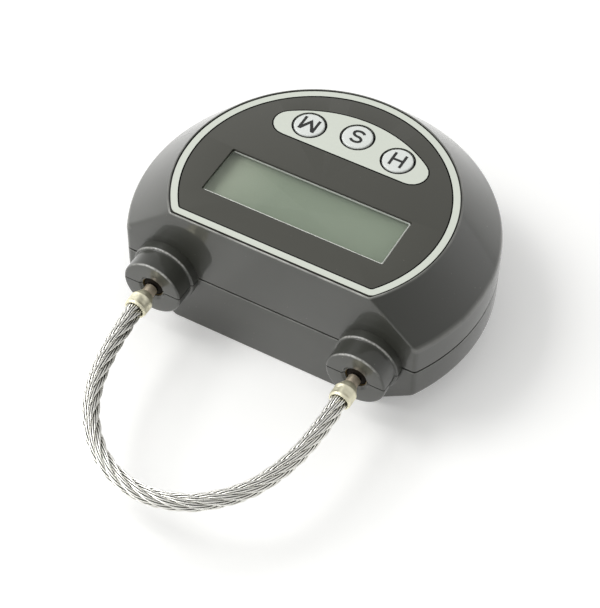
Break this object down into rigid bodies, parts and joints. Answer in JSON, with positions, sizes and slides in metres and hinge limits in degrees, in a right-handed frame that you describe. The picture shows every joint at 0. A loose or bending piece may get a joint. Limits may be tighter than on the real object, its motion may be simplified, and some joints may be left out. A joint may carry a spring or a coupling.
{
  "type": "timer padlock",
  "caption": "Round digital timer padlock with a display, three setting keys and a wire rope shackle whose free end is held by a motor-driven latch.",
  "frame": {"origin": "on the back face, at the axis of the round housing", "axes": "+Z out of the display face, -Y out of the flat side towards the shackle, +X to the side of the shackle's free end"},
  "size_m": [0.062, 0.0885, 0.0255],
  "materials": {
    "shell_plastic": "satin gloss moulded black",
    "panel_print": "printed clear-coated film, dark with white print",
    "window_clear": "clear acrylic",
    "display_glass": "grey-green liquid crystal display, blank",
    "white_plastic": "natural acetal",
    "pink_rubber": "conductive silicone strip",
    "green_board": "solder-masked board",
    "black_plastic": "moulded black",
    "ceramic_parts": "ceramic chip parts",
    "plated_steel": "bright plated",
    "brass_parts": "machined brass",
    "cell_foil": "soft foil pouch",
    "pin_steel": "turned steel",
    "ferrule_metal": "pressed, satin bright",
    "rope_steel": "stranded stainless wire",
    "key_silver": "silver-white moulded"
  },
  "bodies": {
    "case": {"lower_shell": "shell_plastic", "upper_shell": "shell_plastic", "face_panel": "panel_print", "display_window": "window_clear", "lcd_glass": "display_glass", "lcd_frame": "white_plastic", "zebra_strips": "pink_rubber", "circuit_board": "green_board", "switch_housings": "black_plastic", "controller_chip": "black_plastic", "board_parts": "ceramic_parts", "crystal_can": "plated_steel", "charge_socket": "black_plastic", "board_screws": "plated_steel", "case_screws": "plated_steel", "motor_can": "plated_steel", "gearbox": "brass_parts", "motor_clamp": "black_plastic", "clamp_screws": "plated_steel", "latch_guide": "white_plastic", "battery_cell": "cell_foil", "battery_pad": "white_plastic", "fixed_bush": "brass_parts", "lock_bush": "brass_parts", "fixed_pin": "pin_steel", "retaining_clip": "plated_steel", "fixed_ferrule": "ferrule_metal", "wire_rope": "rope_steel"},
    "free_end": {"lock_pin": "pin_steel", "free_ferrule": "ferrule_metal"},
    "key_h": {"key_cap_h": "key_silver", "key_plunger_h": "black_plastic"},
    "key_s": {"key_cap_s": "key_silver", "key_plunger_s": "black_plastic"},
    "key_m": {"key_cap_m": "key_silver", "key_plunger_m": "black_plastic"},
    "latch": {"latch_bar": "pin_steel"},
    "pinion": {"drive_pinion": "brass_parts", "output_shaft": "pin_steel"}
  },
  "joints": [
    {"name": "shackle_release", "type": "slide", "parent": "case", "child": "free_end", "axis": [0, -1, 0], "range_m": [0, 0.016], "deforming": ["wire_rope"]},
    {"name": "press_h", "type": "slide", "parent": "case", "child": "key_h", "axis": [0, 0, -1], "range_m": [0, 0.0003], "stiffness_N_per_m": 3000},
    {"name": "press_s", "type": "slide", "parent": "case", "child": "key_s", "axis": [0, 0, -1], "range_m": [0, 0.0003], "stiffness_N_per_m": 3000},
    {"name": "press_m", "type": "slide", "parent": "case", "child": "key_m", "axis": [0, 0, -1], "range_m": [0, 0.0003], "stiffness_N_per_m": 3000},
    {"name": "latch_slide", "type": "slide", "parent": "case", "child": "latch", "axis": [1, 0, 0], "range_m": [0, 0.0036]},
    {"name": "pinion_spin", "type": "hinge", "parent": "case", "child": "pinion", "pos_m": [0.006, -0.01, 0.008], "axis": [0, 1, 0], "range_deg": [-2, 90]}
  ],
  "couplings": [
    {"joint": "pinion_spin", "follows": "latch_slide", "rad_per_m": 416.67}
  ]
}
